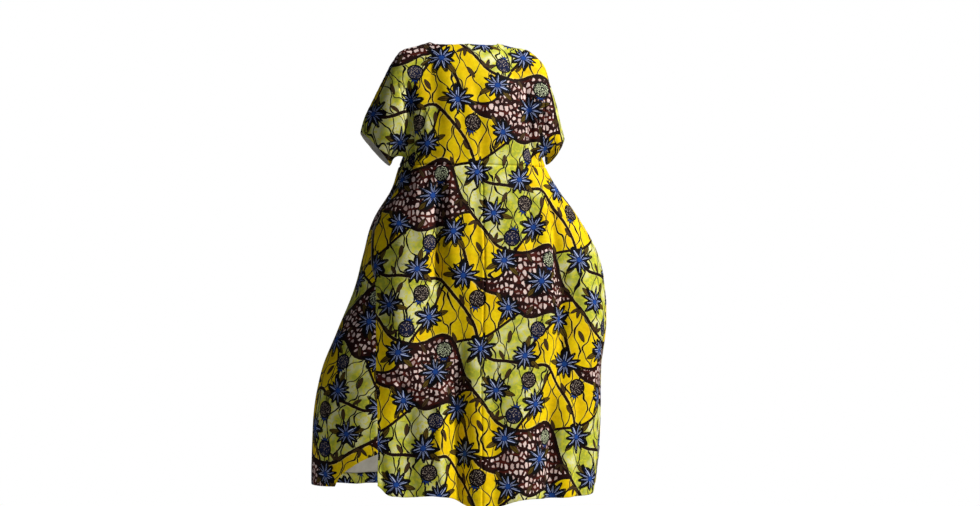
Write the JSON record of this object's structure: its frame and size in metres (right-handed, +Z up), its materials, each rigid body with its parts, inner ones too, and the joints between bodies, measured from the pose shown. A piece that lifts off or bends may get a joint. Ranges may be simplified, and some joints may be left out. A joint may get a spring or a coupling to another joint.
{
  "type": "wax print dress",
  "caption": "Long loose dress in printed cotton with a wide neck, cut-on batwing sleeves, back yoke, centre back seam, side pockets and a hem slit, in its hollow worn form.",
  "frame": {"origin": "middle of the neck opening, level with the neck ends of the shoulder seams, where the wearer holds the dress up", "axes": "+Z up along the hanging dress, +Y towards the back, +X towards the wearer's left; the front faces -Y"},
  "size_m": [0.7868, 0.4084, 1.2127],
  "materials": {
    "front_yoke": "matt",
    "front_skirt": "matt",
    "back_yoke": "matt",
    "back_left": "matt",
    "back_right": "matt",
    "front_hem": "matt",
    "back_hem_left": "matt",
    "back_hem_right": "matt",
    "pocket_left": "matt",
    "pocket_right": "matt"
  },
  "bodies": {
    "root": {"front_yoke": "front_yoke", "front_skirt": "front_skirt", "back_yoke": "back_yoke", "back_left": "back_left", "back_right": "back_right", "front_hem": "front_hem", "back_hem_left": "back_hem_left", "back_hem_right": "back_hem_right", "pocket_left": "pocket_left", "pocket_right": "pocket_right"}
  },
  "joints": []
}
